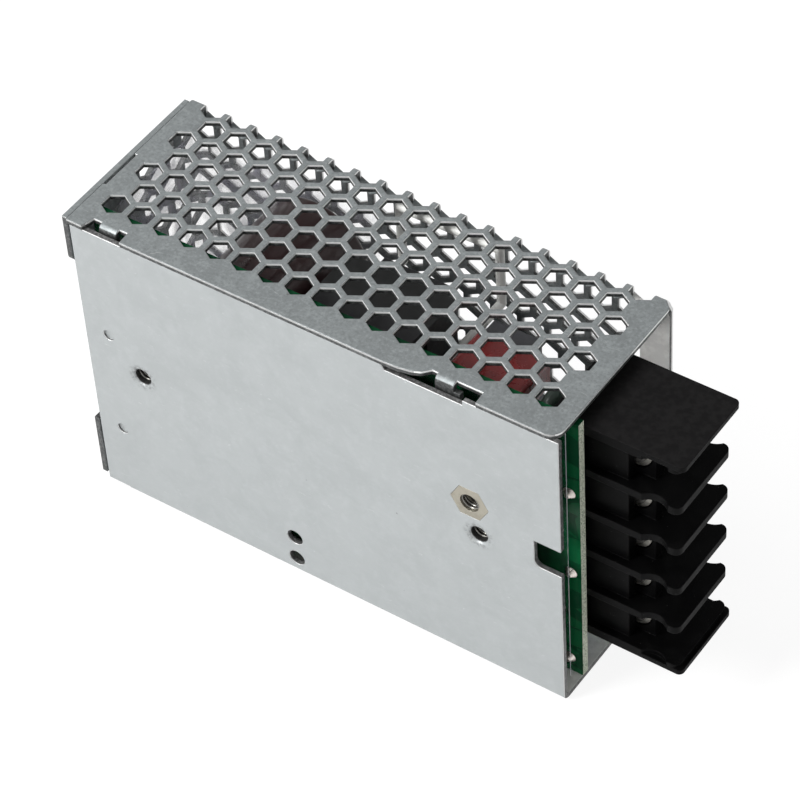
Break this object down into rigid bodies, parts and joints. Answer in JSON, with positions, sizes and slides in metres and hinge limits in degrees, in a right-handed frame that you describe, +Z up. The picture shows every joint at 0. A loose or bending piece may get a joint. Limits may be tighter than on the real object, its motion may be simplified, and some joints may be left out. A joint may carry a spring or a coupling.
{
  "type": "enclosed switching power supply",
  "caption": "Enclosed switching power supply: folded plain chassis under a hexagon mesh cover, circuit board inside, screw terminal block at one end.",
  "frame": {"origin": "middle of the whole length and depth, on the surface the case stands on", "axes": "+X along the case towards the terminals, +Y from the plain front plate to the back mesh, +Z up to the mesh side on top"},
  "size_m": [0.093, 0.0286, 0.051],
  "materials": {
    "plain_steel": "satin zinc plated steel sheet",
    "mesh_steel": "satin zinc plated steel sheet",
    "post_nickel": "nickel plated free cutting steel, dulled",
    "screw_zinc": "zinc plated steel",
    "clear_film": "clear polyester film",
    "board_green": "green solder mask on glass epoxy",
    "solder": "tin solder",
    "block_black": "black moulded flame retardant plastic",
    "contact_tin": "tin plated brass",
    "clamp_zinc": "zinc plated steel",
    "screw_nickel": "nickel plated steel",
    "can_brown": "dark brown shrunk sleeve",
    "ferrite": "sintered ferrite",
    "bobbin_black": "black moulded bobbin",
    "tape_black": "black polyester tape over the windings",
    "sleeve_white": "white insulating sleeve",
    "cap_grey": "moulded grey case",
    "cap_red": "moulded dark red case",
    "ring_green": "coated ferrite ring",
    "copper": "enamelled copper wire",
    "can_blue": "dark blue shrunk sleeve",
    "disc_blue": "blue dipped coating",
    "disc_green": "dark green dipped coating",
    "package_black": "black moulded package",
    "package_white": "white moulded package",
    "aluminium": "mill finish",
    "fuse_tan": "dark moulded cap",
    "trimmer_blue": "blue moulded case",
    "rotor_white": "white moulded rotor",
    "lamp_green": "green tinted clear resin",
    "resistor_blue": "pale blue lacquer",
    "tinned_wire": "tinned copper wire"
  },
  "bodies": {
    "case": {"chassis": "plain_steel", "mesh_cover": "mesh_steel", "board_post": "post_nickel", "board_screw": "screw_zinc", "insulating_film": "clear_film", "circuit_board": "board_green", "solder_joints": "solder", "terminal_housing": "block_black", "contact_1": "contact_tin", "contact_2": "contact_tin", "contact_3": "contact_tin", "contact_4": "contact_tin", "contact_5": "contact_tin", "input_capacitor": "can_brown", "transformer_core_upper": "ferrite", "transformer_core_lower": "ferrite", "transformer_bobbin": "bobbin_black", "transformer_winding": "tape_black", "sleeved_lead": "sleeve_white", "grey_capacitor": "cap_grey", "red_capacitor": "cap_red", "choke_ring": "ring_green", "choke_winding": "copper", "output_capacitor_1": "can_blue", "output_capacitor_2": "can_blue", "output_inductor": "ferrite", "bias_capacitor": "can_blue", "safety_capacitor": "disc_blue", "bridge_rectifier": "package_black", "controller": "package_black", "optocoupler": "package_white", "switching_transistor": "package_black", "output_diode": "package_black", "heat_spreader": "aluminium", "spreader_screws": "screw_zinc", "fuse": "fuse_tan", "thermistor": "disc_green", "trimmer_case": "trimmer_blue", "pilot_lamp": "lamp_green", "resistor_1": "resistor_blue", "resistor_2": "resistor_blue", "resistor_3": "resistor_blue", "resistor_4": "resistor_blue", "jumper_wires": "tinned_wire"},
    "clamp_1": {"clamp_plate_1": "clamp_zinc"},
    "screw_1": {"terminal_screw_1": "screw_nickel"},
    "clamp_2": {"clamp_plate_2": "clamp_zinc"},
    "screw_2": {"terminal_screw_2": "screw_nickel"},
    "clamp_3": {"clamp_plate_3": "clamp_zinc"},
    "screw_3": {"terminal_screw_3": "screw_nickel"},
    "clamp_4": {"clamp_plate_4": "clamp_zinc"},
    "screw_4": {"terminal_screw_4": "screw_nickel"},
    "clamp_5": {"clamp_plate_5": "clamp_zinc"},
    "screw_5": {"terminal_screw_5": "screw_nickel"},
    "trimmer": {"trimmer_rotor": "rotor_white"}
  },
  "joints": [
    {"name": "clamp_1_lift", "type": "slide", "parent": "case", "child": "clamp_1", "axis": [0, 1, 0], "range_m": [0, 0.002]},
    {"name": "screw_1_turn", "type": "hinge", "parent": "clamp_1", "child": "screw_1", "pos_m": [0.0377, -0.0023, 0.04424], "axis": [0, -1, 0], "range_deg": [0, 1440]},
    {"name": "clamp_2_lift", "type": "slide", "parent": "case", "child": "clamp_2", "axis": [0, 1, 0], "range_m": [0, 0.002]},
    {"name": "screw_2_turn", "type": "hinge", "parent": "clamp_2", "child": "screw_2", "pos_m": [0.0377, -0.0023, 0.03662], "axis": [0, -1, 0], "range_deg": [0, 1440]},
    {"name": "clamp_3_lift", "type": "slide", "parent": "case", "child": "clamp_3", "axis": [0, 1, 0], "range_m": [0, 0.002]},
    {"name": "screw_3_turn", "type": "hinge", "parent": "clamp_3", "child": "screw_3", "pos_m": [0.0377, -0.0023, 0.029], "axis": [0, -1, 0], "range_deg": [0, 1440]},
    {"name": "clamp_4_lift", "type": "slide", "parent": "case", "child": "clamp_4", "axis": [0, 1, 0], "range_m": [0, 0.002]},
    {"name": "screw_4_turn", "type": "hinge", "parent": "clamp_4", "child": "screw_4", "pos_m": [0.0377, -0.0023, 0.02138], "axis": [0, -1, 0], "range_deg": [0, 1440]},
    {"name": "clamp_5_lift", "type": "slide", "parent": "case", "child": "clamp_5", "axis": [0, 1, 0], "range_m": [0, 0.002]},
    {"name": "screw_5_turn", "type": "hinge", "parent": "clamp_5", "child": "screw_5", "pos_m": [0.0377, -0.0023, 0.01376], "axis": [0, -1, 0], "range_deg": [0, 1440]},
    {"name": "trimmer_turn", "type": "hinge", "parent": "case", "child": "trimmer", "pos_m": [0.0275, -0.0058, 0.0055], "axis": [1, 0, 0], "range_deg": [-130, 130]}
  ],
  "couplings": [
    {"joint": "screw_1_turn", "follows": "clamp_1_lift", "rad_per_m": 12566},
    {"joint": "screw_2_turn", "follows": "clamp_2_lift", "rad_per_m": 12566},
    {"joint": "screw_3_turn", "follows": "clamp_3_lift", "rad_per_m": 12566},
    {"joint": "screw_4_turn", "follows": "clamp_4_lift", "rad_per_m": 12566},
    {"joint": "screw_5_turn", "follows": "clamp_5_lift", "rad_per_m": 12566}
  ]
}
